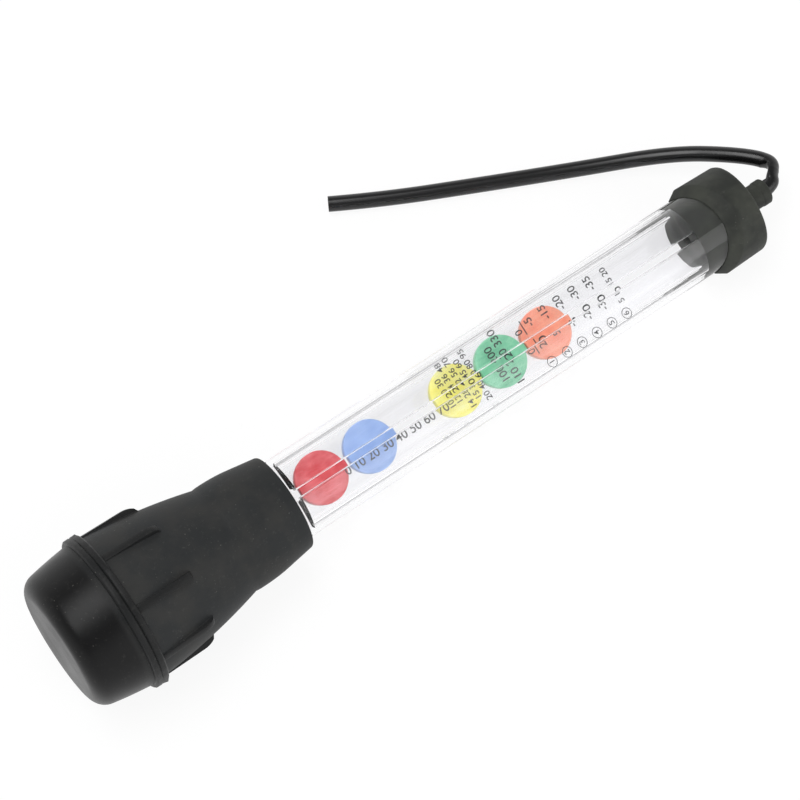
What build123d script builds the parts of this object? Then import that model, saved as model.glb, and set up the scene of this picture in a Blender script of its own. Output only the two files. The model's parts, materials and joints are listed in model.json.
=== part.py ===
from build123d import *
import os
from math import atan2, cos, degrees, pi, radians, sin, tan

os.makedirs("parts", exist_ok=True)

# Antifreeze tester: a rubber squeeze bulb, a clear barrel with five floating discs in a flat chamber,
# a rubber end cap with a nozzle, and a kinked suction hose that lies beside it on the table.
# Millimetres. Stations run along the tester's own axis from the mouth of the bulb's collar
# toward the hose, so what is inside the bulb has negative stations.

# Driving sizes of the bulb
collar_length = 22.9
shoulder_length = 18.2
rib_length = 20.2
flange_length = 4.7
dome_length = 18.6
mouth_wall = 2.7
collar_wall = 4.85
waist_wall = 4.65
dome_radius = 25.4
flange_rise = 1.5
rim_round = 0.5
body_step = 0.35
shoulder_step = 2.4
rib_rise = 0.45
rib_width = 2.6
rib_count = 8
end_taper = 1.8
end_round = 6.0
bulb_wall = 3.2
neck_step = 1.5

# Driving sizes of the barrel and its chamber
barrel_radius = 14.0
barrel_wall = 2.0
grip_length = 22.0
exposed_length = 165.4
cap_grip_length = 13.5
chamber_inset = 1.5
chamber_tail = 16.8
chamber_corner = 1.6
plate_thickness = 1.5
web_thickness = 2.2
end_wall = 1.5
way_radius = 2.4

# Driving sizes of the discs, and the gap before each one at rest, from the bulb's end of the chamber
disc_radius = 8.9
disc_thickness = 3.0
disc_edge = 0.4
red_gap = 7.0
blue_gap = 1.2
yellow_gap = 16.3
green_gap = 0.4
orange_gap = 0.4

# Driving sizes of the end cap and its nozzle
cap_length = 19.8
cap_wall = 2.05
cap_flare = 0.4
cap_mouth_wall = 0.35
cap_bevel_length = 3.6
cap_edge = 1.2
nozzle_length = 11.6
nozzle_wall = 1.6
nozzle_lip_height = 0.2
nozzle_lip_length = 3.0

# Driving sizes of the hose
hose_radius = 2.7
hose_wall = 1.0
hose_grip_length = 4.2

# Clearances, and the overrun of every cut
stretch_fit = 0.05
stop_gap = 0.2
disc_seat_gap = 0.25
disc_headroom = 2.15
disc_side_gap = 1.1
overrun = 1.0

# The chamber's flat face is turned this far about the axis toward the front, and one rib a little further
face_turn = radians(19.4)
rib_turn = radians(7)

# The bulb's radii, each from the one that carries it
flange_radius = dome_radius + flange_rise
body_radius = dome_radius - body_step
shoulder_radius = body_radius - shoulder_step
rib_radius = body_radius + rib_rise
end_flat_radius = dome_radius - end_taper - end_round

# What grips the barrel or fits inside it
grip_radius = barrel_radius + stretch_fit
mouth_radius = grip_radius + mouth_wall
collar_radius = grip_radius + collar_wall
waist_radius = grip_radius + waist_wall
cap_radius = grip_radius + cap_wall
inner_radius = barrel_radius - barrel_wall
neck_radius = inner_radius - neck_step
plug_radius = inner_radius - stretch_fit

# The chamber leaves the discs room to slide
chamber_width = 2 * (disc_radius + disc_side_gap)
chamber_depth = disc_seat_gap + disc_thickness + disc_headroom

# The nozzle grips the hose
hose_bore_radius = hose_radius - hose_wall
hose_socket_radius = hose_radius + stretch_fit
nozzle_radius = hose_socket_radius + nozzle_wall
nozzle_lip_radius = nozzle_radius + nozzle_lip_height

# Stations
waist_at = -collar_length
rib_end_at = waist_at - shoulder_length
flange_front_at = rib_end_at - rib_length
flange_back_at = flange_front_at - flange_length
end_at = flange_back_at - dome_length
barrel_start_at = -grip_length
barrel_end_at = exposed_length + cap_grip_length
chamber_start_at = -chamber_inset
chamber_end_at = barrel_end_at - chamber_tail
chamber_length = chamber_end_at - chamber_start_at
cap_mouth_at = exposed_length
cap_end_at = cap_mouth_at + cap_length
tip_at = cap_end_at + nozzle_length
hose_start_at = tip_at - hose_grip_length

# The tester lies on its flange and on the far edge of its cap, so its axis leans down toward the hose
flange_foot_at = flange_front_at - rim_round
cap_foot_at = cap_end_at - cap_edge
lean = atan2(flange_radius - cap_radius, cap_foot_at - flange_foot_at)
tip_x = tip_at * cos(lean) + nozzle_lip_radius * sin(lean)
end_x = end_at * cos(lean) - end_flat_radius * sin(lean)
foot_z = flange_radius * cos(lean) + flange_foot_at * sin(lean)
datum = Vector(-(tip_x + end_x) / 2, 0, foot_z)

# The axis, the direction square to it in the upright plane, and the same pair turned with the chamber
axis_dir = Vector(cos(lean), 0, -sin(lean))
axis_up = Vector(sin(lean), 0, cos(lean))
side_dir = Vector(0, 1, 0)
face_across = side_dir * cos(face_turn) + axis_up * sin(face_turn)
face_up = axis_up * cos(face_turn) - side_dir * sin(face_turn)
tester_axis = Axis(datum, axis_dir)
profile_plane = Plane(origin=datum, x_dir=axis_dir, z_dir=-side_dir)


def on_axis(at):
    return datum + axis_dir * at


def across(at):
    # square to the axis, its x across the chamber's flat face
    return Plane(origin=on_axis(at), x_dir=face_across, z_dir=axis_dir)


def lengthwise(turn):
    # holds the axis, its y pointing outward at this turn from the chamber's flat face
    outward = face_up * cos(turn) + face_across * sin(turn)
    return Plane(origin=datum, x_dir=axis_dir, z_dir=axis_dir.cross(outward))


def from_axis(point):
    offset = point - datum
    return (offset - axis_dir * offset.dot(axis_dir)).length


def finish(piece, name):
    piece.part.label = name
    export_step(piece.part, f"parts/{name}.step")
    print(f"{name}: {piece.part.volume:.0f} mm3")


# Squeeze bulb: one rubber moulding with a dome, a two-rim flange, ribs, a shoulder and a collar
rim_groove_depth = 0.45
rim_groove_width = 0.8
back_rim_length = 2.4
dome_turn = 80
collar_rise = 2.7
collar_fall = 12.4
collar_fall_wall = 4.5
mouth_edge = 0.5
rib_fade = 5.0
rib_drop = 0.3
rib_root_depth = 1.2
rib_edge = 0.4
neck_length = 4.0
cavity_round = 4.0

rim_groove_at = flange_back_at + back_rim_length
socket_end_at = barrel_start_at - stretch_fit
neck_end_at = socket_end_at - neck_length


def is_rib_crest(edge):
    return edge.length > rib_length / 2 and from_axis(edge.center()) > rib_radius - rib_edge


with BuildPart() as squeeze_bulb:
    with BuildSketch(profile_plane):
        with BuildLine():
            flat = Polyline((waist_at, 0), (end_at, 0), (end_at, end_flat_radius))
            edge = JernArc(start=flat @ 1, tangent=(0, 1), radius=end_round, arc_size=-dome_turn)
            dome = TangentArc([edge @ 1, (flange_back_at, dome_radius)], tangent=edge % 1)
            rims = Polyline(
                dome @ 1,
                (flange_back_at, flange_radius - rim_round),
                (flange_back_at + rim_round, flange_radius),
                (rim_groove_at - rim_groove_width / 2, flange_radius),
                (rim_groove_at, flange_radius - rim_groove_depth),
                (rim_groove_at + rim_groove_width / 2, flange_radius),
                (flange_front_at - rim_round, flange_radius),
                (flange_front_at, flange_radius - rim_round),
                (flange_front_at, body_radius),
            )
            body = ThreePointArc(rims @ 1, (rib_end_at, shoulder_radius), (waist_at, waist_radius))
            Polyline(body @ 1, (waist_at, 0))
        make_face()
    revolve(axis=tester_axis)

    # the collar, stretched over the barrel's end
    with BuildSketch(profile_plane):
        with BuildLine():
            swell = Spline(
                (waist_at, waist_radius),
                (waist_at + collar_rise, collar_radius),
                (-collar_fall, grip_radius + collar_fall_wall),
                (-mouth_edge, mouth_radius),
            )
            Polyline(swell @ 1, (0, mouth_radius - mouth_edge), (0, 0), (waist_at, 0), swell @ 0)
        make_face()
    revolve(axis=tester_axis)

    # the ribs, level along their tops while the body narrows, and rounded down into it
    for turn in range(rib_count):
        with BuildPart() as rib:
            with BuildSketch(lengthwise(2 * pi * turn / rib_count - rib_turn)):
                with BuildLine():
                    top = Polyline(
                        (flange_front_at - rim_round, shoulder_radius - rib_root_depth),
                        (flange_front_at - rim_round, rib_radius),
                        (rib_end_at - rib_fade, rib_radius - rib_drop),
                    )
                    fade = TangentArc([top @ 1, (rib_end_at, shoulder_radius - rib_drop)], tangent=top % 1)
                    Polyline(fade @ 1, (rib_end_at, shoulder_radius - rib_root_depth), top @ 0)
                make_face()
            extrude(amount=rib_width / 2, both=True)
            fillet(rib.edges().filter_by(GeomType.LINE).filter_by(is_rib_crest), radius=rib_edge)

    # the hollow of the bulb
    with BuildSketch(profile_plane):
        with BuildLine():
            Polyline(
                (end_at + bulb_wall, 0),
                (end_at + bulb_wall, end_flat_radius - bulb_wall / 2),
                (end_at + bulb_wall + cavity_round, dome_radius - 2 * bulb_wall),
                (flange_back_at, dome_radius - bulb_wall),
                (flange_front_at, body_radius - bulb_wall),
                (rib_end_at, shoulder_radius - bulb_wall),
                (neck_end_at, neck_radius),
                (socket_end_at + overrun, neck_radius),
                (socket_end_at + overrun, 0),
                close=True,
            )
        make_face()
    revolve(axis=tester_axis, mode=Mode.SUBTRACT)

    # the socket that grips the barrel
    with BuildSketch(across(socket_end_at)):
        Circle(grip_radius)
    extrude(amount=overrun - socket_end_at, mode=Mode.SUBTRACT)

finish(squeeze_bulb, "squeeze_bulb")


# Barrel: a clear tube, plain at both ends, with a flat chamber held between two webs in its middle
end_wall_at = chamber_start_at - end_wall

with BuildPart() as clear_barrel:
    with BuildSketch(across(barrel_start_at)):
        Circle(barrel_radius)
    extrude(amount=barrel_end_at - barrel_start_at)

    # the plain bores at the two ends
    with BuildSketch(across(barrel_start_at - overrun)):
        Circle(inner_radius)
    extrude(amount=end_wall_at - barrel_start_at + overrun, mode=Mode.SUBTRACT)
    with BuildSketch(across(chamber_end_at)):
        Circle(inner_radius)
    extrude(amount=barrel_end_at - chamber_end_at + overrun, mode=Mode.SUBTRACT)

    # the way for the liquid through the end wall
    with BuildSketch(across(end_wall_at - overrun)):
        Circle(way_radius)
    extrude(amount=end_wall + 2 * overrun, mode=Mode.SUBTRACT)

    # the chamber that the discs slide in
    with BuildSketch(across(chamber_start_at)):
        RectangleRounded(chamber_width, chamber_depth, chamber_corner)
    extrude(amount=chamber_length + overrun, mode=Mode.SUBTRACT)

    # the four empty spaces between the chamber's plates, the webs and the outer wall
    with BuildSketch(across(chamber_start_at)):
        Circle(inner_radius)
        Rectangle(2 * barrel_radius, chamber_depth + 2 * plate_thickness, mode=Mode.SUBTRACT)
        Rectangle(web_thickness, 2 * barrel_radius, mode=Mode.SUBTRACT)
    extrude(amount=chamber_length + overrun, mode=Mode.SUBTRACT)

finish(clear_barrel, "clear_barrel")


# Floating discs: flat coins, lying on the chamber's lower plate, in the order of the scale
disc_gaps = {
    "red": red_gap,
    "blue": blue_gap,
    "yellow": yellow_gap,
    "green": green_gap,
    "orange": orange_gap,
}
disc_depth = chamber_depth / 2 - disc_seat_gap - disc_thickness / 2
disc_at = chamber_start_at
for colour, gap in disc_gaps.items():
    disc_at += gap + disc_radius
    middle = on_axis(disc_at) - face_up * disc_depth
    with BuildPart() as floating_disc:
        with BuildSketch(Plane(origin=middle, x_dir=axis_dir, z_dir=face_up)):
            Circle(disc_radius)
        extrude(amount=disc_thickness / 2, both=True)
        chamfer(floating_disc.edges().filter_by(GeomType.CIRCLE), length=disc_edge)
    finish(floating_disc, f"disc_{colour}")
    disc_at += disc_radius
free_length = chamber_end_at - stop_gap - disc_at
print(f"free chamber beyond the last disc: {free_length:.1f} mm")


# End cap: a rubber cup over the barrel's end, with a plug that closes the chamber and a nozzle
plug_face_at = chamber_end_at + stop_gap
cup_floor_at = barrel_end_at + stop_gap
lip_at = tip_at - nozzle_lip_length
socket_floor_at = hose_start_at - stop_gap

with BuildPart() as end_cap:
    with BuildSketch(profile_plane):
        with BuildLine():
            Polyline(
                (plug_face_at, hose_bore_radius),
                (plug_face_at, plug_radius),
                (cup_floor_at, plug_radius),
                (cup_floor_at, grip_radius),
                (cap_mouth_at, grip_radius),
                (cap_mouth_at, grip_radius + cap_mouth_wall),
                (cap_mouth_at + cap_bevel_length, cap_radius + cap_flare),
                (cap_end_at - cap_edge, cap_radius),
                (cap_end_at, cap_radius - cap_edge),
                (cap_end_at, nozzle_radius),
                (lip_at, nozzle_radius),
                (lip_at, nozzle_lip_radius),
                (tip_at, nozzle_lip_radius),
                (tip_at, hose_socket_radius),
                (socket_floor_at, hose_socket_radius),
                (socket_floor_at, hose_bore_radius),
                close=True,
            )
        make_face()
    revolve(axis=tester_axis)

finish(end_cap, "end_cap")


# Suction hose: it leaves the nozzle, folds back sharply, and lies on the table behind the barrel
hose_exit_length = 3.2
arc_share = 0.48
nozzle_x = on_axis(tip_at).X
hose_route = [
    tuple(on_axis(hose_start_at)),
    tuple(on_axis(tip_at + hose_exit_length)),
    (nozzle_x + 4.9, 4.0, 15.3),
    (nozzle_x + 9.2, 7.6, 14.6),
    (nozzle_x + 1.9, 17.3, 12.6),
    (nozzle_x - 12.9, 32.7, 6.6),
    (nozzle_x - 41.9, 48.4, 2.75),
    (nozzle_x - 71.3, 62.6, 2.75),
    (nozzle_x - 101.9, 77.7, 2.75),
    (nozzle_x - 118.0, 87.2, 2.75),
]


def corner_radii(route):
    # each arc is as large as its two runs allow
    points = [Vector(point) for point in route]
    runs = [after - before for before, after in zip(points, points[1:])]
    radii = []
    for before, after in zip(runs, runs[1:]):
        turn = radians(before.get_angle(after))
        radii.append(arc_share * min(before.length, after.length) / tan(turn / 2))
    return radii


hose_radii = corner_radii(hose_route)
with BuildPart() as suction_hose:
    with BuildLine() as hose_line:
        FilletPolyline(*hose_route, radius=hose_radii)
    with BuildSketch(Plane(origin=hose_line.line @ 0, x_dir=side_dir, z_dir=hose_line.line % 0)):
        Circle(hose_radius)
        Circle(hose_bore_radius, mode=Mode.SUBTRACT)
    sweep()

finish(suction_hose, "suction_hose")
hose_length = sum(edge.length for edge in hose_line.edges())
hose_section = pi * (hose_radius**2 - hose_bore_radius**2)
print("hose arcs:", [round(radius, 1) for radius in hose_radii])
print(f"hose length {hose_length:.1f} mm, volume over section times length:",
      round(suction_hose.part.volume / (hose_section * hose_length), 4))
print(f"lean {degrees(lean):.3f} degrees")
for name, at in {"mouth": 0, "flat end": end_at, "cap mouth": cap_mouth_at, "tip": tip_at}.items():
    print(f"axis at the {name}:", [round(value, 3) for value in on_axis(at)])
print("axis direction:", [round(value, 6) for value in axis_dir])
print("face direction:", [round(value, 6) for value in face_up])
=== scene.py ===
import json
import math
import bpy
from mathutils import Matrix, Vector, noise


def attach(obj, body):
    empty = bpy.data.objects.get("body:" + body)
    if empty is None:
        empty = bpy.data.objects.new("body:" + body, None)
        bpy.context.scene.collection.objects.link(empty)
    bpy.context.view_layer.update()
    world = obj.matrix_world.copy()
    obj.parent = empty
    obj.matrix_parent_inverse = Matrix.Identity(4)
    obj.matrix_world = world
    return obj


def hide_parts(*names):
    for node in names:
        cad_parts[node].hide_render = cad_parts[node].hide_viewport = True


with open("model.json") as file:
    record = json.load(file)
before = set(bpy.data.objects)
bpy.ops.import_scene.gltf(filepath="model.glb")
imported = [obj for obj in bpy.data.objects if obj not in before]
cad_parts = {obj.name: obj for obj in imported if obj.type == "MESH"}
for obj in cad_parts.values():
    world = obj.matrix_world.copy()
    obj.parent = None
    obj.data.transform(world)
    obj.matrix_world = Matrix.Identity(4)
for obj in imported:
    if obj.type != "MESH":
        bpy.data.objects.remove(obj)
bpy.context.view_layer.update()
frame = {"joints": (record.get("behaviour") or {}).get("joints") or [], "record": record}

# The tester is modelled in millimetres along X: 0 at the mouth of the bulb's collar, + toward the hose,
# with the flat face of the chamber up along Z. testerPlace then lays it in the row's frame, in metres.
mm = 0.001
bulb = {
    "length": 84.6,
    "flangeBack": -66.0,
    "flangeFront": -61.3,
    "ribEnd": -41.1,
    "waist": -22.9,
    "flatRadius": 17.5,
    "endRings": (0, 4, 8.5, 13),
    "endRound": 6.0,
    "endSweep": 80,
    "domeHandle": (12, 24.75),
    "domeRadius": 25.4,
    "flangeRadius": 26.9,
    "rimRound": 0.5,
    "backRim": 2.4,
    "groove": 0.8,
    "grooveDepth": 0.45,
    "bodyRadius": 25.05,
    "shoulderRadius": 22.65,
    "waistRadius": 18.7,
    "collarRadius": 18.9,
    "collarBend": 1.2,
    "collarFrom": -20.0,
    "fallFrom": -14.0,
    "fallTo": -10.0,
    "fallRadius": 18.2,
    "mouthHandle": (-5.0, 17.45),
    "mouthFrom": -0.5,
    "mouthRadius": 16.75,
    "lip": ((-0.1, 0.2), (0, 0.6)),
    "ribRadius": 25.5,
    "ribWidth": 2.6,
    "ribCount": 8,
    "ribLean": math.radians(7),
    "ribFade": 5.0,
    "ribDrop": 0.3,
    "ribSink": 0.1,
    "ribReach": 0.6,
    "ribSteps": 4,
    "gapSteps": 14,
    "bevel": 0.3,
    "wall": 3.2,
    "innerRound": 4,
    "socketDepth": 22.05,
    "neckRadius": 10.5,
    "neckLength": 4.0,
    "rimReach": 0.3,
    "flashHeight": 0.14,
    "flashPitch": (0.5, 0.6, 0.6),
    "burrHeight": 0.7,
    "burrReach": 0.9,
    "burrSpan": 1.3,
    "burrTurns": (-91, -86, 84, -34, 27),
}
barrel = {
    "start": -22.0,
    "end": 178.9,
    "radius": 14.0,
    "wall": 2.0,
    "chamberStart": -1.5,
    "chamberEnd": 162.1,
    "chamberWidth": 20.0,
    "chamberDepth": 5.4,
    "chamberCorner": 1.6,
    "plate": 1.5,
    "spaceStart": 2.2,
    "spaceTaper": 0.7,
    "spaceNarrow": 0.84,
    "web": 2.2,
    "fillet": 0.55,
    "endWall": 1.5,
    "wayRadius": 2.4,
    "bite": 0.03,
    "past": 1.0,
    "sides": 160,
    "waySides": 48,
    "smooth": 16,
}
faceTurn = math.radians(19.4)
axisDir = Vector(frame["joints"][0]["axis"]).normalized()
flatEnd = Vector(frame["record"]["mounts"][0]["pos_m"])
mouthPoint = flatEnd + axisDir * bulb["length"] * mm
sideDir = Vector((0, 1, 0))
upDir = axisDir.cross(sideDir).normalized()
faceUp = upDir * math.cos(faceTurn) - sideDir * math.sin(faceTurn)
faceAcross = faceUp.cross(axisDir).normalized()
testerTurn = Matrix((axisDir, faceAcross, faceUp)).transposed()
testerPlace = Matrix.Translation(mouthPoint) @ testerTurn.to_4x4() @ Matrix.Scale(mm, 4)


def onAxis(station):
    return mouthPoint + axisDir * station * mm


# The camera, fitted to the barrel's edges, the flange and the cap in the photograph
camera = {
    "lens": 126.0,
    "sensor": 36.0,
    "axisInView": (0.8090, 0.5219, 0.2703),
    "aimStation": 50.4,
    "aimRight": 0.00388,
    "aimDown": 0.00609,
    "distance": 0.89963,
}


def makeCamera():
    right, up, forward = camera["axisInView"]
    dip = math.asin(-axisDir.z)
    reach = math.hypot(up, forward)
    tilt = math.acos(-math.sin(dip) / reach) - math.atan2(forward, up)
    swing = right / math.cos(dip)
    level = math.sqrt(1 - swing * swing)
    rightDir = Vector((swing, -level, 0))
    forwardDir = Vector((level * math.cos(tilt), swing * math.cos(tilt), -math.sin(tilt)))
    upView = rightDir.cross(forwardDir)
    place = onAxis(camera["aimStation"]) - rightDir * camera["aimRight"]
    place += upView * camera["aimDown"] - forwardDir * camera["distance"]
    data = bpy.data.cameras.new("photoCamera")
    data.lens = camera["lens"]
    data.sensor_width = camera["sensor"]
    data.clip_start = 0.01
    data.clip_end = 20
    eye = bpy.data.objects.new("photoCamera", data)
    bpy.context.scene.collection.objects.link(eye)
    turn = Matrix((rightDir, upView, -forwardDir)).transposed()
    eye.matrix_world = Matrix.Translation(place) @ turn.to_4x4()
    bpy.context.scene.camera = eye
    print("camera at", [round(value, 4) for value in place])


makeCamera()


# Shader maths: a Wire is a socket that takes + - * and **, a Paint adds every other node
class Wire:
    def __init__(self, paint, socket):
        self.paint = paint
        self.socket = socket

    def maths(self, operation, *values):
        return self.paint.node("Math", {"operation": operation}, dict(enumerate(values)))

    def __add__(self, other):
        return self.maths("ADD", self, other)

    def __sub__(self, other):
        return self.maths("SUBTRACT", self, other)

    def __rsub__(self, other):
        return self.maths("SUBTRACT", other, self)

    def __mul__(self, other):
        return self.maths("MULTIPLY", self, other)

    def __pow__(self, other):
        return self.maths("POWER", self, other)

    __radd__ = __add__
    __rmul__ = __mul__

    def top(self, other):
        return self.maths("MAXIMUM", self, other)

    def low(self, other):
        return self.maths("MINIMUM", self, other)

    def fade(self, start, end):
        # 0 before start, 1 after end, smooth between
        return self.paint.node(
            "MapRange", {"interpolation_type": "SMOOTHSTEP"}, {0: self, 1: start, 2: end, 3: 0.0, 4: 1.0}
        )


class Paint:
    def __init__(self, name, owner=None):
        self.material = owner or bpy.data.materials.new(name)
        self.material.use_nodes = True
        self.tree = self.material.node_tree
        self.tree.nodes.clear()

    def node(self, kind, settings=None, values=None, output=0):
        made = self.tree.nodes.new("ShaderNode" + kind)
        for key, value in (settings or {}).items():
            setattr(made, key, value)
        for key, value in (values or {}).items():
            if isinstance(value, Wire):
                self.tree.links.new(value.socket, made.inputs[key])
            else:
                made.inputs[key].default_value = value
        return Wire(self, made.outputs[output])

    def blend(self, factor, first, second):
        return self.node("Mix", {"data_type": "RGBA"}, {0: factor, 6: first, 7: second}, output=2)

    def grain(self, coordinates, scale, detail=2.0, roughness=0.5):
        return self.node(
            "TexNoise", {}, {"Vector": coordinates, "Scale": scale, "Detail": detail, "Roughness": roughness}
        )

    def testerMap(self):
        # millimetres along the tester, from the collar's mouth
        spot = self.node("TexCoord", output=3)
        turn = testerTurn.to_euler()
        return self.node(
            "Mapping",
            {"vector_type": "TEXTURE"},
            {"Vector": spot, "Location": mouthPoint, "Rotation": turn, "Scale": (mm, mm, mm)},
        )

    def finish(self, surface):
        out = self.tree.nodes.new("ShaderNodeOutputMaterial")
        self.tree.links.new(surface.socket, out.inputs["Surface"])
        return self.material


def colour(red, green, blue):
    # the photograph's 0 to 255 colours, made linear
    def linear(value):
        value /= 255
        return value / 12.92 if value <= 0.04045 else ((value + 0.055) / 1.055) ** 2.4

    return (linear(red), linear(green), linear(blue), 1.0)


# Modelling helpers
def startFresh():
    if bpy.context.object and bpy.context.object.mode != "OBJECT":
        bpy.ops.object.mode_set(mode="OBJECT")
    bpy.ops.object.select_all(action="DESELECT")


def editMode(kind):
    bpy.ops.object.mode_set(mode="EDIT")
    bpy.ops.mesh.select_mode(type=kind)


def pickFaces(piece, wanted):
    editMode("FACE")
    bpy.ops.mesh.select_all(action="DESELECT")
    bpy.ops.object.mode_set(mode="OBJECT")
    for face in piece.data.polygons:
        face.select = wanted(face)
    bpy.ops.object.mode_set(mode="EDIT")


def applyModifier(piece, kind, **settings):
    bpy.ops.object.mode_set(mode="OBJECT")
    change = piece.modifiers.new(kind.lower(), kind)
    for key, value in settings.items():
        setattr(change, key, value)
    bpy.context.view_layer.objects.active = piece
    bpy.ops.object.modifier_apply(modifier=change.name)


def startProfile(name, points):
    # one vertex, extruded along the points (station, radius)
    startFresh()
    bpy.ops.mesh.primitive_plane_add(size=1, location=(0, 0, 0))
    piece = bpy.context.object
    piece.name = name
    piece.data.name = name
    editMode("VERT")
    bpy.ops.mesh.merge(type="CENTER")
    place = Vector((points[0][0], 0, points[0][1]))
    bpy.ops.transform.translate(value=place)
    for station, radius in points[1:]:
        corner = Vector((station, 0, radius))
        bpy.ops.mesh.extrude_region_move(TRANSFORM_OT_translate={"value": corner - place})
        place = corner
    bpy.ops.mesh.select_all(action="SELECT")
    return piece


def turnRound(steps, turn=2 * math.pi):
    bpy.ops.mesh.spin(steps=steps, angle=turn, center=(0, 0, 0), axis=(1, 0, 0))


def closeSkin(reach=0.002):
    bpy.ops.mesh.select_all(action="SELECT")
    bpy.ops.mesh.remove_doubles(threshold=reach)
    bpy.ops.mesh.normals_make_consistent(inside=False)


def layDown(piece, body, material, slot, *nodes, smooth=35):
    # into the row's frame, with its place in its mesh
    startFresh()
    piece.select_set(True)
    bpy.context.view_layer.objects.active = piece
    piece.matrix_world = testerPlace @ piece.matrix_world
    bpy.ops.object.transform_apply(location=True, rotation=True, scale=True)
    bpy.ops.object.shade_smooth_by_angle(angle=math.radians(smooth))
    dress(piece, body, material, slot, *nodes)


def dress(piece, body, material, slot, *nodes):
    piece.data.materials.clear()
    piece.data.materials.append(material)
    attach(piece, body)
    if nodes:
        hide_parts(*nodes)
    print("made", piece.name, len(piece.data.polygons), "faces")


def arcPoints(centre, radius, first, last, count):
    # points on a circle in the profile, angles in degrees from the bulb's end toward outward
    turns = [math.radians(first + (last - first) * step / count) for step in range(count + 1)]
    return [(centre[0] - radius * math.cos(turn), centre[1] + radius * math.sin(turn)) for turn in turns]


def evenPoints(first, last, count):
    # points between two profile points, without the first
    return [
        tuple(a + (b - a) * step / count for a, b in zip(first, last)) for step in range(1, count + 1)
    ]


def curvePoints(first, handle, last, count):
    # a soft bend from first to last, drawn toward the handle
    points = []
    for step in range(1, count + 1):
        share = step / count
        near, mid, far = (1 - share) ** 2, 2 * share * (1 - share), share**2
        points.append(tuple(near * a + mid * b + far * c for a, b, c in zip(first, handle, last)))
    return points


def throughThree(first, middle, last, stations):
    # the circle through three profile points, read off at the stations
    (ax, ay), (bx, by), (cx, cy) = first, middle, last
    spread = 2 * (ax * (by - cy) + bx * (cy - ay) + cx * (ay - by))
    a, b, c = (x * x + y * y for x, y in (first, middle, last))
    x = (a * (by - cy) + b * (cy - ay) + c * (ay - by)) / spread
    y = (a * (cx - bx) + b * (ax - cx) + c * (bx - ax)) / spread
    radius = math.hypot(ax - x, ay - y)
    outward = math.copysign(1, ay - y)
    return [(station, y + outward * math.sqrt(radius**2 - (station - x) ** 2)) for station in stations]


# Suction hose: the same route as its solid, in metres
hose = {
    "radius": 0.0027,
    "bore": 0.0017,
    "grip": 0.0042,
    "exit": 0.0032,
    "sides": 64,
    "tip": 196.8,
    "creaseAt": 0.0123,
    "creaseLength": 0.0056,
    "creaseWide": 1.12,
    "creaseFlat": 0.96,
    "creaseBulge": 0.18,
    "boreRings": 60,
    "smooth": 50,
}
nozzleTip = onAxis(hose["tip"])
hoseRoute = [
    nozzleTip - axisDir * hose["grip"],
    nozzleTip + axisDir * hose["exit"],
    Vector((nozzleTip.x + 0.0049, 0.0040, 0.0153)),
    Vector((nozzleTip.x + 0.0092, 0.0076, 0.0146)),
    Vector((nozzleTip.x + 0.0019, 0.0173, 0.0126)),
    Vector((nozzleTip.x - 0.0129, 0.0327, 0.0066)),
    Vector((nozzleTip.x - 0.0419, 0.0484, 0.00275)),
    Vector((nozzleTip.x - 0.0713, 0.0626, 0.00275)),
    Vector((nozzleTip.x - 0.1019, 0.0777, 0.00275)),
    Vector((nozzleTip.x - 0.1180, 0.0872, 0.00275)),
]


def hoseLine():
    data = bpy.data.curves.new("hoseLine", "CURVE")
    data.dimensions = "3D"
    data.resolution_u = 24
    spline = data.splines.new("NURBS")
    spline.points.add(len(hoseRoute) - 1)
    for point, place in zip(spline.points, hoseRoute):
        point.co = (*place, 1)
    spline.order_u = 3
    spline.use_endpoint_u = True
    guide = bpy.data.objects.new("hoseLine", data)
    bpy.context.scene.collection.objects.link(guide)
    bpy.context.view_layer.update()
    drawn = bpy.data.meshes.new_from_object(guide.evaluated_get(bpy.context.evaluated_depsgraph_get()))
    path = [vertex.co.copy() for vertex in drawn.vertices]
    bpy.data.objects.remove(guide)
    return path


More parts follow.
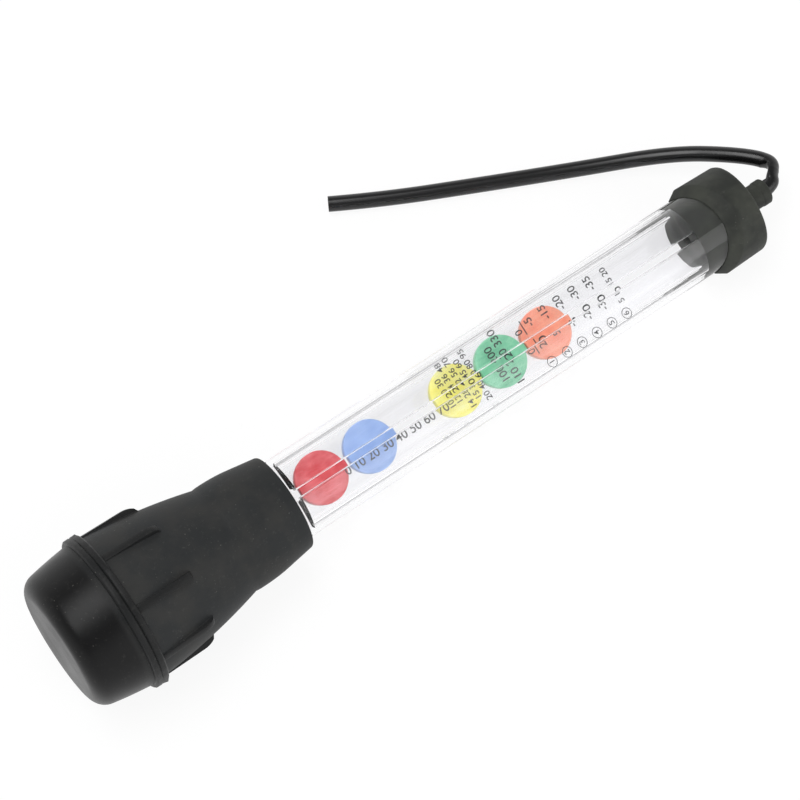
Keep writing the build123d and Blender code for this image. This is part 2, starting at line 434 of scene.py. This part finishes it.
def makeHose(material):
    path = hoseLine()
    along = [0.0]
    for before, after in zip(path, path[1:]):
        along.append(along[-1] + (after - before).length)
    # the hose folds in this plane, and its inner half is creased flat there
    foldNormal = (hoseRoute[1] - hoseRoute[0]).cross(hoseRoute[4] - hoseRoute[3]).normalized()
    vertices = []
    faces = []
    sides = hose["sides"]
    rings = []
    side = foldNormal
    for index, place in enumerate(path):
        ahead = path[min(index + 1, len(path) - 1)] - path[max(index - 1, 0)]
        ahead.normalize()
        side = (side - ahead * side.dot(ahead)).normalized()
        crease = max(0.0, 1 - abs(along[index] - hose["creaseAt"]) / hose["creaseLength"])
        rings.append((place, side, side.cross(ahead), crease))

    def addRing(place, wideDir, innerDir, crease, radius):
        first = len(vertices)
        wide = 1 + (hose["creaseWide"] - 1) * crease
        for step in range(sides):
            turn = 2 * math.pi * step / sides
            depth = math.sin(turn)
            depth *= 1 - hose["creaseFlat"] * crease if depth > 0 else 1 + hose["creaseBulge"] * crease
            vertices.append(place + (wideDir * wide * math.cos(turn) + innerDir * depth) * radius)
        return first

    starts = [addRing(*ring, hose["radius"]) for ring in rings]
    # back down the bore
    starts += [addRing(*ring, hose["bore"]) for ring in reversed(rings[-hose["boreRings"]:])]
    for first, second in zip(starts, starts[1:]):
        for step in range(sides):
            other = (step + 1) % sides
            faces.append((first + step, second + step, second + other, first + other))
    faces.append(tuple(range(starts[0] + sides - 1, starts[0] - 1, -1)))
    faces.append(tuple(range(starts[-1], starts[-1] + sides)))
    data = bpy.data.meshes.new("suction_tube")
    data.from_pydata(vertices, [], faces)
    piece = bpy.data.objects.new("suction_tube", data)
    bpy.context.scene.collection.objects.link(piece)
    startFresh()
    piece.select_set(True)
    bpy.context.view_layer.objects.active = piece
    editMode("VERT")
    closeSkin(0.000001)
    bpy.ops.object.mode_set(mode="OBJECT")
    bpy.ops.object.shade_smooth_by_angle(angle=math.radians(hose["smooth"]))
    dress(piece, "tester", material, "hose_plastic", "suction_hose")
    print("hose line", round(along[-1], 4))


def hoseFinish():
    paint = Paint("hoseBlack")
    spot = paint.node("TexCoord", output=3)
    ripple = paint.grain(spot, 900.0, 3.0)
    relief = paint.node("Bump", {}, {"Strength": 0.08, "Distance": 0.0002, "Height": ripple})
    return paint.finish(
        paint.node(
            "BsdfPrincipled",
            {},
            {
                "Base Color": colour(14, 14, 15),
                "Roughness": 0.22 + ripple * 0.06,
                "IOR": 1.5,
                "Normal": relief,
            },
        )
    )


makeHose(hoseFinish())


# Squeeze bulb
def bulbProfile():
    end = -bulb["length"]
    flangeBack, flangeFront = bulb["flangeBack"], bulb["flangeFront"]
    rim = bulb["flangeRadius"]
    chamfer = bulb["rimRound"]
    grooveAt = flangeBack + bulb["backRim"]
    halfGroove = bulb["groove"] / 2
    points = [(end, radius) for radius in bulb["endRings"]]
    endCentre = (end + bulb["endRound"], bulb["flatRadius"])
    points += arcPoints(endCentre, bulb["endRound"], 0, bulb["endSweep"], 12)
    domeBend, domeBendRadius = bulb["domeHandle"]
    points += curvePoints(points[-1], (end + domeBend, domeBendRadius), (flangeBack, bulb["domeRadius"]), 12)
    points += [(flangeBack, rim - chamfer), (flangeBack + chamfer, rim)]
    points += [
        (grooveAt - halfGroove, rim),
        (grooveAt, rim - bulb["grooveDepth"]),
        (grooveAt + halfGroove, rim),
        (flangeFront - chamfer, rim),
        (flangeFront, rim - chamfer),
        (flangeFront, bulb["bodyRadius"]),
    ]
    shoulder = (bulb["ribEnd"], bulb["shoulderRadius"])
    waist = (bulb["waist"], bulb["waistRadius"])
    fadeAt = bulb["ribEnd"] - bulb["ribFade"]
    body = [flangeFront + (fadeAt - flangeFront) * step / 8 for step in range(1, 9)]
    body += [fadeAt + bulb["ribFade"] * step / 6 for step in range(1, 7)]
    body += [shoulder[0] + (waist[0] - shoulder[0]) * step / 12 for step in range(1, 13)]
    points += throughThree(points[-1], shoulder, waist, body)
    collar = bulb["collarRadius"]
    points += curvePoints(waist, (waist[0] + bulb["collarBend"], collar), (bulb["collarFrom"], collar), 3)
    points += curvePoints(points[-1], (bulb["fallFrom"], collar), (bulb["fallTo"], bulb["fallRadius"]), 5)
    points += curvePoints(points[-1], bulb["mouthHandle"], (bulb["mouthFrom"], bulb["mouthRadius"]), 5)
    points += [(station, bulb["mouthRadius"] - drop) for station, drop in bulb["lip"]]
    # inside: the grip on the barrel, the neck and the hollow
    grip = barrel["radius"] - barrel["bite"]
    wall = bulb["wall"]
    points += [
        (0, grip),
        (-bulb["socketDepth"], grip),
        (-bulb["socketDepth"], bulb["neckRadius"]),
        (-bulb["socketDepth"] - bulb["neckLength"], bulb["neckRadius"]),
        (bulb["ribEnd"], bulb["shoulderRadius"] - wall),
        (flangeFront, bulb["bodyRadius"] - wall),
        (flangeBack, bulb["domeRadius"] - wall),
        (end + wall + bulb["innerRound"], bulb["domeRadius"] - 2 * wall),
        (end + wall, bulb["flatRadius"] - wall / 2),
        (end + wall, 0),
    ]
    return points


def ribTop(station):
    # level along the body, then rounded down into the shoulder
    fall = (station - (bulb["ribEnd"] - bulb["ribFade"])) / bulb["ribFade"]
    ribLength = bulb["ribEnd"] - bulb["flangeFront"]
    level = bulb["ribRadius"] - bulb["ribDrop"] * (station - bulb["flangeFront"]) / ribLength
    if fall <= 0:
        return level
    drop = level - bulb["shoulderRadius"] - bulb["ribSink"]
    return level - drop * (1 - math.sqrt(max(0.0, 1 - fall * fall)))


def makeBulb(material):
    piece = startProfile("bulb_rubber_moulding", bulbProfile())
    ribTurn = bulb["ribWidth"] / bulb["ribRadius"]
    gapTurn = 2 * math.pi / bulb["ribCount"] - ribTurn
    # the profile starts at the side of the facing rib
    bpy.ops.object.mode_set(mode="OBJECT")
    back = Matrix.Rotation(bulb["ribLean"] - ribTurn / 2, 4, "X")
    for vertex in piece.data.vertices:
        vertex.co = back @ vertex.co
    editMode("VERT")
    for rib in range(bulb["ribCount"]):
        turnRound(bulb["ribSteps"], ribTurn)
        turnRound(bulb["gapSteps"], gapTurn)
    closeSkin()

    def onRib(face):
        middle = face.center
        turn = math.atan2(middle.y, middle.z) + bulb["ribLean"]
        sector = 2 * math.pi / bulb["ribCount"]
        offset = abs((turn + sector / 2) % sector - sector / 2)
        inRange = bulb["flangeFront"] + 0.01 < middle.x < bulb["ribEnd"]
        outside = math.hypot(middle.y, middle.z) > bulb["shoulderRadius"] - bulb["ribReach"]
        return offset < ribTurn / 2 and inRange and outside

    pickFaces(piece, onRib)
    bpy.ops.mesh.extrude_region_move(TRANSFORM_OT_translate={"value": (0, 0, 0)})
    bpy.ops.object.mode_set(mode="OBJECT")
    for vertex in piece.data.vertices:
        if vertex.select:
            radius = math.hypot(vertex.co.y, vertex.co.z)
            stretch = ribTop(vertex.co.x) / radius
            vertex.co = (vertex.co.x, vertex.co.y * stretch, vertex.co.z * stretch)
    sharp = math.radians(28)
    applyModifier(piece, "BEVEL", width=bulb["bevel"], segments=2, limit_method="ANGLE", angle_limit=sharp)
    roughenRims(piece)
    layDown(piece, "tester", material, "bulb_rubber", "squeeze_bulb")


def roughenRims(piece):
    # moulding flash along the flange, and the burrs that stand off its front rim
    for vertex in piece.data.vertices:
        place = vertex.co
        radius = math.hypot(place.y, place.z)
        if radius < bulb["flangeRadius"] - bulb["rimReach"]:
            continue
        spot = Vector([value * pitch for value, pitch in zip(place, bulb["flashPitch"])])
        rise = noise.noise(spot) * bulb["flashHeight"]
        turn = math.degrees(math.atan2(place.y, place.z))
        nearFront = abs(place.x - bulb["flangeFront"]) < bulb["burrReach"]
        for burr in bulb["burrTurns"]:
            if nearFront and abs(turn - burr) < bulb["burrSpan"]:
                # each burr has its own height
                rise = bulb["burrHeight"] * (0.6 + 0.4 * math.cos(burr))
        stretch = 1 + rise / radius
        vertex.co = (place.x, place.y * stretch, place.z * stretch)


rubber = {
    "body": colour(47, 47, 46),
    "bodyDark": colour(36, 38, 39),
    # dome: painted shade, the darkened colour painted on the dome
    "dome": colour(8, 8, 9),
    # raised: painted shade, the darker colour painted on the ribs and flange
    "raised": colour(10, 11, 12),
    "dust": colour(120, 120, 114),
    "cap": colour(62, 64, 58),
    "capDark": colour(42, 44, 41),
    "domeFrom": -69.0,
    "domeTo": -65.5,
    "raisedFrom": -42.0,
    "raisedTo": -40.5,
    # the skin's fall from the flange toward the shoulder, per mm and per mm squared
    "bend": (0.0671, 0.00256),
    "index": 1.32,
}


def rubberFinish(name, shade, dark):
    paint = Paint(name)
    spot = paint.testerMap()
    fine = paint.grain(spot, 3.0, 4.0, 0.6)
    cloud = paint.grain(spot, 0.09, 3.0, 0.55)
    station, y, z = (paint.node("SeparateXYZ", {}, {0: spot}, output=part) for part in range(3))
    # the dome is smoother than the rest, and its base colour is darkened there as painted shade
    dome = 1.0 - station.fade(rubber["domeFrom"], rubber["domeTo"])
    tone = paint.blend(cloud.fade(0.35, 0.68), dark, shade)
    tone = paint.blend(dome, tone, rubber["dome"])
    # painted shade: ribs and flange are painted darker than the skin they stand on
    past = (station - bulb["flangeFront"]).top(0.0)
    skin = bulb["bodyRadius"] - past * rubber["bend"][0] - past * past * rubber["bend"][1]
    onRibs = 1.0 - station.fade(rubber["raisedFrom"], rubber["raisedTo"])
    raised = ((y * y + z * z) ** 0.5 - skin).fade(0.15, 0.4) * onRibs
    tone = paint.blend(raised * 0.75, tone, rubber["raised"])
    # pale dust, thicker in a few patches
    patches = paint.grain(spot, 0.12, 2.0).fade(0.45, 0.75)
    specks = paint.grain(spot, 1.5, 1.0).fade(0.7, 0.78) * patches
    scuffs = paint.grain(spot, 0.5, 5.0, 0.7).fade(0.56, 0.8) * 0.12
    tone = paint.blend((specks * 0.6 + scuffs).low(1.0), tone, rubber["dust"])
    gloss = 0.5 + cloud * 0.2 - dome * 0.24 - raised * 0.14
    relief = paint.node("Bump", {}, {"Strength": 0.25 - dome * 0.15, "Distance": 0.0002, "Height": fine})
    return paint.finish(
        paint.node(
            "BsdfPrincipled",
            {},
            {"Base Color": tone, "Roughness": gloss, "IOR": rubber["index"], "Normal": relief},
        )
    )


makeBulb(rubberFinish("bulbRubber", rubber["body"], rubber["bodyDark"]))


# Clear barrel
def makeCutter(name, start, end, radius, sides):
    startFresh()
    bpy.ops.mesh.primitive_cylinder_add(
        vertices=sides,
        radius=radius,
        depth=end - start,
        location=((start + end) / 2, 0, 0),
        rotation=(0, math.pi / 2, 0),
    )
    piece = bpy.context.object
    piece.name = name
    bpy.ops.object.transform_apply(location=True, rotation=True, scale=True)
    return piece


def cutAway(piece, cutter):
    startFresh()
    piece.select_set(True)
    bpy.context.view_layer.objects.active = piece
    applyModifier(piece, "BOOLEAN", object=cutter, operation="DIFFERENCE", solver="EXACT")
    bpy.data.objects.remove(cutter)


def spaceOutline():
    # the space between a plate, a web and the outer wall, with rounded corners, as (across, up)
    fillet = barrel["fillet"]
    inner = barrel["radius"] - barrel["wall"]
    nearWeb = barrel["web"] / 2 + fillet
    nearPlate = barrel["chamberDepth"] / 2 + barrel["plate"] + fillet
    high = math.sqrt((inner - fillet) ** 2 - nearWeb**2)
    wide = math.sqrt((inner - fillet) ** 2 - nearPlate**2)
    topTurn = math.degrees(math.atan2(high, nearWeb))
    sideTurn = math.degrees(math.atan2(nearPlate, wide))
    arcs = [
        ((nearWeb, nearPlate), fillet, 270, 180, 8),
        ((nearWeb, high), fillet, 180, topTurn, 8),
        ((0, 0), inner, topTurn, sideTurn, 40),
        ((wide, nearPlate), fillet, sideTurn, -90, 8),
    ]
    outline = []
    for centre, radius, first, last, count in arcs:
        for step in range(count + 1):
            turn = math.radians(first + (last - first) * step / count)
            point = Vector((centre[0] + radius * math.cos(turn), centre[1] + radius * math.sin(turn)))
            if not outline or (point - outline[-1]).length > 0.01:
                outline.append(point)
    return outline


def makeSpace(side, face):
    outline = spaceOutline()
    startFresh()
    bpy.ops.mesh.primitive_circle_add(vertices=len(outline), radius=1, fill_type="NGON")
    piece = bpy.context.object
    middle = sum(outline, Vector((0, 0))) / len(outline)
    start, taper = barrel["spaceStart"], barrel["spaceTaper"]
    for vertex, point in zip(piece.data.vertices, outline):
        across, up = middle + (point - middle) * barrel["spaceNarrow"]
        vertex.co = (start, across * side, up * face)
    editMode("FACE")
    bpy.ops.mesh.select_all(action="SELECT")
    # its closed end tapers, like the end of the core that forms it
    bpy.ops.mesh.extrude_region_move(TRANSFORM_OT_translate={"value": (taper, 0, 0)})
    bpy.ops.object.mode_set(mode="OBJECT")
    centre = Vector((start + taper, middle[0] * side, middle[1] * face))
    for vertex in piece.data.vertices:
        if vertex.select:
            vertex.co = centre + (vertex.co - centre) / barrel["spaceNarrow"]
    bpy.ops.object.mode_set(mode="EDIT")
    length = barrel["chamberEnd"] + barrel["past"] - start - taper
    bpy.ops.mesh.extrude_region_move(TRANSFORM_OT_translate={"value": (length, 0, 0)})
    bpy.ops.mesh.select_all(action="SELECT")
    bpy.ops.mesh.normals_make_consistent(inside=False)
    bpy.ops.object.mode_set(mode="OBJECT")
    return piece


def makeBarrel(material):
    sides = barrel["sides"]
    inner = barrel["radius"] - barrel["wall"]
    start, end = barrel["chamberStart"], barrel["chamberEnd"]
    past = barrel["past"]
    wallBack = start - barrel["endWall"]
    piece = makeCutter("clear_tube", barrel["start"], barrel["end"], barrel["radius"], sides)
    cutAway(piece, makeCutter("bulbBore", barrel["start"] - past, wallBack, inner, sides))
    cutAway(piece, makeCutter("capBore", end, barrel["end"] + past, inner, sides))
    cutAway(piece, makeCutter("way", wallBack - past, start + past, barrel["wayRadius"], barrel["waySides"]))
    # the flat chamber
    startFresh()
    bpy.ops.mesh.primitive_cube_add(size=1, location=((start + end + past) / 2, 0, 0))
    chamber = bpy.context.object
    chamber.scale = (end + past - start, barrel["chamberWidth"], barrel["chamberDepth"])
    bpy.ops.object.transform_apply(location=True, rotation=True, scale=True)
    editMode("EDGE")
    bpy.ops.mesh.select_all(action="DESELECT")
    bpy.ops.object.mode_set(mode="OBJECT")
    for edge in chamber.data.edges:
        first, second = (chamber.data.vertices[index].co for index in edge.vertices)
        edge.select = abs(first.x - second.x) > past
    bpy.ops.object.mode_set(mode="EDIT")
    bpy.ops.mesh.bevel(offset=barrel["chamberCorner"], segments=8)
    bpy.ops.object.mode_set(mode="OBJECT")
    cutAway(piece, chamber)
    for side in (1, -1):
        for face in (1, -1):
            cutAway(piece, makeSpace(side, face))
    layDown(piece, "tester", material, "clear_plastic", "clear_barrel", smooth=barrel["smooth"])


def clearFinish():
    paint = Paint("clearPlastic")
    glass = paint.node(
        "BsdfPrincipled",
        {},
        {
            "Base Color": (0.984, 0.984, 0.99, 1),
            "Roughness": 0.0,
            "IOR": 1.49,
            "Transmission Weight": 1.0,
        },
    )
    through = paint.node("BsdfTransparent", {}, {"Color": (0.97, 0.97, 0.98, 1)})
    shadowRay = paint.node("LightPath", output="Is Shadow Ray")
    return paint.finish(paint.node("MixShader", {}, {0: shadowRay, 1: glass, 2: through}))


makeBarrel(clearFinish())


# Floating discs
disc = {"radius": 8.9, "thickness": 3.0, "edge": 0.45, "depth": 0.95, "sides": 96}
discStations = {"red": 14.4, "blue": 33.4, "yellow": 67.5, "green": 85.7, "orange": 103.9}
# each disc's deep colour and a paler one, the paler one partly a painted reflection
discColours = {
    "red": (colour(210, 36, 46), colour(236, 110, 116)),
    "blue": (colour(142, 174, 230), colour(164, 194, 242)),
    "yellow": (colour(254, 245, 108), colour(255, 253, 168)),
    "green": (colour(102, 195, 148), colour(152, 222, 184)),
    "orange": (colour(250, 140, 110), colour(255, 172, 142)),
}


def discFinish(name, deep, pale):
    paint = Paint(name + "Disc")
    spot = paint.testerMap()
    cloud = paint.grain(spot, 0.16, 3.0, 0.6)
    # flow lines of the moulding, along the barrel, partly painted reflection: they streak the paler colour
    # in along the barrel
    drawn = paint.node("Mapping", {"vector_type": "POINT"}, {"Vector": spot, "Scale": (0.25, 1.6, 1.0)})
    flowAndSheen = paint.grain(drawn, 0.8, 3.0, 0.6)
    tone = paint.blend((cloud.fade(0.35, 0.7) * 0.7 + flowAndSheen.fade(0.4, 0.65) * 0.3).low(1.0), deep, pale)
    relief = paint.node("Bump", {}, {"Strength": 0.1, "Distance": 0.0002, "Height": flowAndSheen})
    return paint.finish(
        paint.node(
            "BsdfPrincipled",
            {},
            {"Base Color": tone, "Roughness": 0.25 + cloud * 0.2, "IOR": 1.5, "Normal": relief},
        )
    )


def makeDisc(name, station):
    startFresh()
    bpy.ops.mesh.primitive_cylinder_add(
        vertices=disc["sides"],
        radius=disc["radius"],
        depth=disc["thickness"],
        location=(station, 0, -disc["depth"]),
    )
    piece = bpy.context.object
    piece.name = "float_" + name
    piece.data.name = piece.name
    applyModifier(piece, "BEVEL", width=disc["edge"], segments=3, limit_method="ANGLE")
    finish = discFinish(name, *discColours[name])
    layDown(piece, name + "_disc", finish, name + "_plastic", "disc_" + name)


for name, station in discStations.items():
    makeDisc(name, station)


# End cap
cap = {
    "mouth": 165.4,
    "end": 185.2,
    "tip": 196.8,
    "radius": 16.1,
    "mouthRadius": 14.25,
    "bevelLength": 3.8,
    "flareRadius": 16.5,
    "cutback": 6.2,
    "cutbackEnd": 184.0,
    "edge": 1.2,
    "nozzleRadius": 4.35,
    "lipRadius": 4.55,
    "lipLength": 3.0,
    "small": 0.4,
    "edgeDrop": 0.35,
    "foot": 0.6,
    "bevel": 0.2,
    "plugFace": 162.0,
    "plugRadius": 12.03,
    "floor": 179.1,
    "bore": 1.7,
    "socket": 2.75,
    "socketDepth": 4.4,
}


def makeCap(material):
    grip = barrel["radius"] - barrel["bite"]
    lipAt = cap["tip"] - cap["lipLength"]
    small = cap["small"]
    points = [
        (cap["plugFace"], cap["bore"]),
        (cap["plugFace"], cap["plugRadius"]),
        (cap["floor"], cap["plugRadius"]),
        (cap["floor"], grip),
    ]
    points += evenPoints(points[-1], (cap["mouth"], grip), 8)
    points.append((cap["mouth"], cap["mouthRadius"]))
    points += evenPoints(points[-1], (cap["mouth"] + cap["bevelLength"], cap["flareRadius"]), 4)
    points += evenPoints(points[-1], (cap["end"] - cap["edge"], cap["radius"]), 12)
    points += [
        (cap["end"] - small, cap["radius"] - cap["edgeDrop"]),
        (cap["end"], cap["radius"] - cap["edge"]),
        (cap["end"], cap["nozzleRadius"] + cap["foot"]),
        (cap["end"] + cap["foot"], cap["nozzleRadius"]),
        (lipAt - small, cap["nozzleRadius"]),
        (lipAt, cap["lipRadius"]),
        (cap["tip"] - small, cap["lipRadius"]),
        (cap["tip"], cap["lipRadius"] - small),
        (cap["tip"], cap["socket"]),
        (cap["tip"] - cap["socketDepth"], cap["socket"]),
        (cap["tip"] - cap["socketDepth"], cap["bore"]),
        (cap["plugFace"], cap["bore"]),
    ]
    piece = startProfile("cap_rubber_moulding", points)
    turnRound(128)
    closeSkin()
    bpy.ops.object.mode_set(mode="OBJECT")
    # the mouth is cut back over the chamber's two flat faces, and its bevel goes with it
    full = cap["mouth"] + cap["bevelLength"]
    for vertex in piece.data.vertices:
        place = vertex.co
        radius = math.hypot(place.y, place.z)
        if radius > grip - 0.01 and place.x < cap["cutbackEnd"]:
            fade = min(1.0, (cap["cutbackEnd"] - place.x) / (cap["cutbackEnd"] - full))
            if radius < grip + 0.01:
                # the grip's wall goes with the mouth and stays at the floor
                fade = min(1.0, (cap["floor"] - place.x) / (cap["floor"] - cap["mouth"]))
            vertex.co.x += cap["cutback"] * abs(place.z) / grip * fade
    startFresh()
    piece.select_set(True)
    bpy.context.view_layer.objects.active = piece
    sharp = math.radians(20)
    applyModifier(piece, "BEVEL", width=cap["bevel"], segments=2, limit_method="ANGLE", angle_limit=sharp)
    layDown(piece, "tester", material, "cap_rubber", "end_cap")


makeCap(rubberFinish("capRubber", rubber["cap"], rubber["capDark"]))


# The scale printed on top of the chamber's upper plate: plain figures and rules only
scalePrint = {
    "height": 4.25,
    "thickness": 0.03,
    "figure": 3.8,
    "smallFigure": 2.8,
    "title": 4.3,
    "stroke": 0.02,
    "firstRow": 99.8,
    "rowPitch": 6.13,
    "ringAcross": -8.8,
    "ringBack": 0.6,
    "ringRadius": 1.75,
    "ringLine": 0.22,
    "outerAcross": 5.7,
    "middleAcross": -1.9,
    "titleAt": (41.4, -2.6),
    "ruleAt": 97.0,
    "ruleAcross": (5.1, -2.1),
    "ruleLength": 4.9,
    "ruleWidth": 0.35,
    "ink": colour(34, 34, 38),
}
titleFigures = "0 10 20 30 40 50 60 70"
ringFigures = ("1", "2", "3", "4", "5", "6")
outerFigures = ("-5", "-15", "-20", "-30", "-35")
middleFigures = ("20", "5", "-5", "-20", "-30")
# rows of figures: the figures, station, across, size
figureRows = [
    ("10 20 30", 63.0, 0.9, 3.0),
    ("12 24 36 48", 65.8, 3.0, 3.0),
    ("14 28 42 56 70", 68.9, 1.4, 3.0),
    ("15 30 45 60", 71.8, 1.0, 3.0),
    ("20 40 60 80 95", 74.8, 1.0, 3.0),
    ("100 200", 83.0, -0.2, 3.9),
    ("110 220 330", 86.9, 0.3, 3.9),
    ("0", 95.0, 4.6, 3.6),
    ("0", 95.3, -2.6, 3.6),
    ("5 10 15 20", 130.8, 1.2, 3.0),
]


def addFigures(figures, station, across, size, turn):
    startFresh()
    bpy.ops.object.text_add()
    label = bpy.context.object
    label.data.body = figures
    label.data.size = size
    label.data.align_x = "CENTER"
    label.data.align_y = "CENTER"
    label.data.offset = scalePrint["stroke"]
    bpy.ops.object.convert(target="MESH")
    place = Matrix.Translation((station, across, scalePrint["height"]))
    label.matrix_world = place @ Matrix.Rotation(turn, 4, "Z")
    return label


def addRule(station, across):
    startFresh()
    bpy.ops.mesh.primitive_plane_add(size=1, location=(station, across, scalePrint["height"]))
    rule = bpy.context.object
    rule.scale = (scalePrint["ruleWidth"], scalePrint["ruleLength"], 1)
    return rule


def addRing(station, across):
    startFresh()
    bpy.ops.mesh.primitive_circle_add(
        vertices=40,
        radius=scalePrint["ringRadius"],
        fill_type="NGON",
        location=(station, across, scalePrint["height"]),
    )
    ring = bpy.context.object
    editMode("FACE")
    bpy.ops.mesh.select_all(action="SELECT")
    bpy.ops.mesh.inset(thickness=scalePrint["ringLine"])
    bpy.ops.mesh.delete(type="FACE")
    bpy.ops.object.mode_set(mode="OBJECT")
    return ring


def makePrint():
    acrossTurn = math.pi / 2
    marks = []
    columns = (
        (outerFigures, scalePrint["outerAcross"]),
        (middleFigures, scalePrint["middleAcross"]),
    )
    for row, ringFigure in enumerate(ringFigures):
        station = scalePrint["firstRow"] + row * scalePrint["rowPitch"]
        for figures, across in columns:
            if row < len(figures):
                marks.append(addFigures(figures[row], station, across, scalePrint["figure"], acrossTurn))
        ringAt, across = station - scalePrint["ringBack"], scalePrint["ringAcross"]
        marks.append(addFigures(ringFigure, ringAt, across, scalePrint["smallFigure"], acrossTurn))
        marks.append(addRing(ringAt, across))
    for figures, station, across, size in figureRows:
        marks.append(addFigures(figures, station, across, size, acrossTurn))
    marks.append(addFigures(titleFigures, *scalePrint["titleAt"], scalePrint["title"], 0))
    for across in scalePrint["ruleAcross"]:
        marks.append(addRule(scalePrint["ruleAt"], across))
    startFresh()
    for mark in marks:
        mark.select_set(True)
    piece = marks[0]
    bpy.context.view_layer.objects.active = piece
    bpy.ops.object.transform_apply(location=True, rotation=True, scale=True)
    bpy.ops.object.join()
    piece.name = "scale_print"
    piece.data.name = "scale_print"
    applyModifier(piece, "SOLIDIFY", thickness=scalePrint["thickness"], offset=0)
    paint = Paint("scaleInk")
    ink = paint.node("BsdfPrincipled", {}, {"Base Color": scalePrint["ink"], "Roughness": 0.6})
    layDown(piece, "tester", paint.finish(ink), "hose_plastic")


makePrint()


# Floor, light and background
studio = {
    "floorSize": 3,
    "floorDrop": 0.0001,
    "floorTone": 0.8,
    "shownTone": 0.13,
    "shownGlow": 0.89,
    "ceilingShade": 0.72,
    "ceilingFrom": 0.25,
    "ceilingTo": 0.8,
    "shownThrough": 0.2,
    "bounces": 80,
    "clearBounces": 24,
}
# name, place, size and power of each lamp, all aimed at the tester
lamps = [
    ("topSoftbox", (-0.25, 0.22, 1.35), (1.1, 0.6), 9),
    ("frontSoftbox", (0.55, -1.15, 0.75), (1.4, 1.1), 5.5),
]


def seenRays(paint):
    # 1 for the camera's own rays and what they meet in gloss or through clear parts
    rays = ("Is Camera Ray", "Is Glossy Ray", "Is Transmission Ray")
    seen, mirrored, through = (paint.node("LightPath", output=name) for name in rays)
    return (seen + mirrored + through).low(1.0)


def makeFloor():
    startFresh()
    bpy.ops.mesh.primitive_plane_add(size=studio["floorSize"], location=(0, 0, -studio["floorDrop"]))
    floor = bpy.context.object
    floor.name = "floor"
    paint = Paint("floorWhite")
    lit, soft = (
        paint.node("BsdfDiffuse", {}, {"Color": (tone, tone, tone, 1)})
        for tone in (studio["floorTone"], studio["shownTone"])
    )
    glow = paint.node("Emission", {}, {"Color": (1, 1, 1, 1), "Strength": studio["shownGlow"]})
    bright = paint.node("AddShader", {}, {0: soft, 1: glow})
    surface = paint.node("MixShader", {}, {0: seenRays(paint), 1: lit, 2: bright})
    floor.data.materials.append(paint.finish(surface))


def makeWorld():
    # white walls under a darker ceiling, and white wherever it is the background
    world = bpy.data.worlds.new("studio")
    bpy.context.scene.world = world
    world.use_nodes = True
    paint = Paint("studio", world)
    direction = paint.node("TexCoord", output="Generated")
    height = paint.node("SeparateXYZ", {}, {0: direction}, output=2)
    level = 1.0 - studio["ceilingShade"] * height.fade(studio["ceilingFrom"], studio["ceilingTo"])
    seen = paint.node("LightPath", output="Is Camera Ray")
    through = paint.node("LightPath", output="Is Transmission Ray")
    shown = seen + studio["shownThrough"] * through
    out = paint.tree.nodes.new("ShaderNodeOutputWorld")
    strength = level + shown.low(1.0) * (1.0 - level)
    glow = paint.node("Background", {}, {"Color": (1, 1, 1, 1), "Strength": strength})
    paint.tree.links.new(glow.socket, out.inputs["Surface"])


def makeLamp(name, place, size, power):
    data = bpy.data.lights.new(name, "AREA")
    data.shape = "RECTANGLE"
    data.size, data.size_y = size
    data.energy = power
    lamp = bpy.data.objects.new(name, data)
    bpy.context.scene.collection.objects.link(lamp)
    lamp.location = place
    lamp.rotation_euler = (-Vector(place)).to_track_quat("-Z", "Y").to_euler()
    print("lamp", name, power, "W")


makeFloor()
makeWorld()
for lampValues in lamps:
    makeLamp(*lampValues)

scene = bpy.context.scene
scene.view_settings.view_transform = "Standard"
# enough bounces for the light that runs along inside the clear walls
scene.cycles.max_bounces = studio["bounces"]
scene.cycles.glossy_bounces = studio["bounces"]
scene.cycles.transmission_bounces = studio["bounces"]
scene.cycles.transparent_max_bounces = studio["clearBounces"]
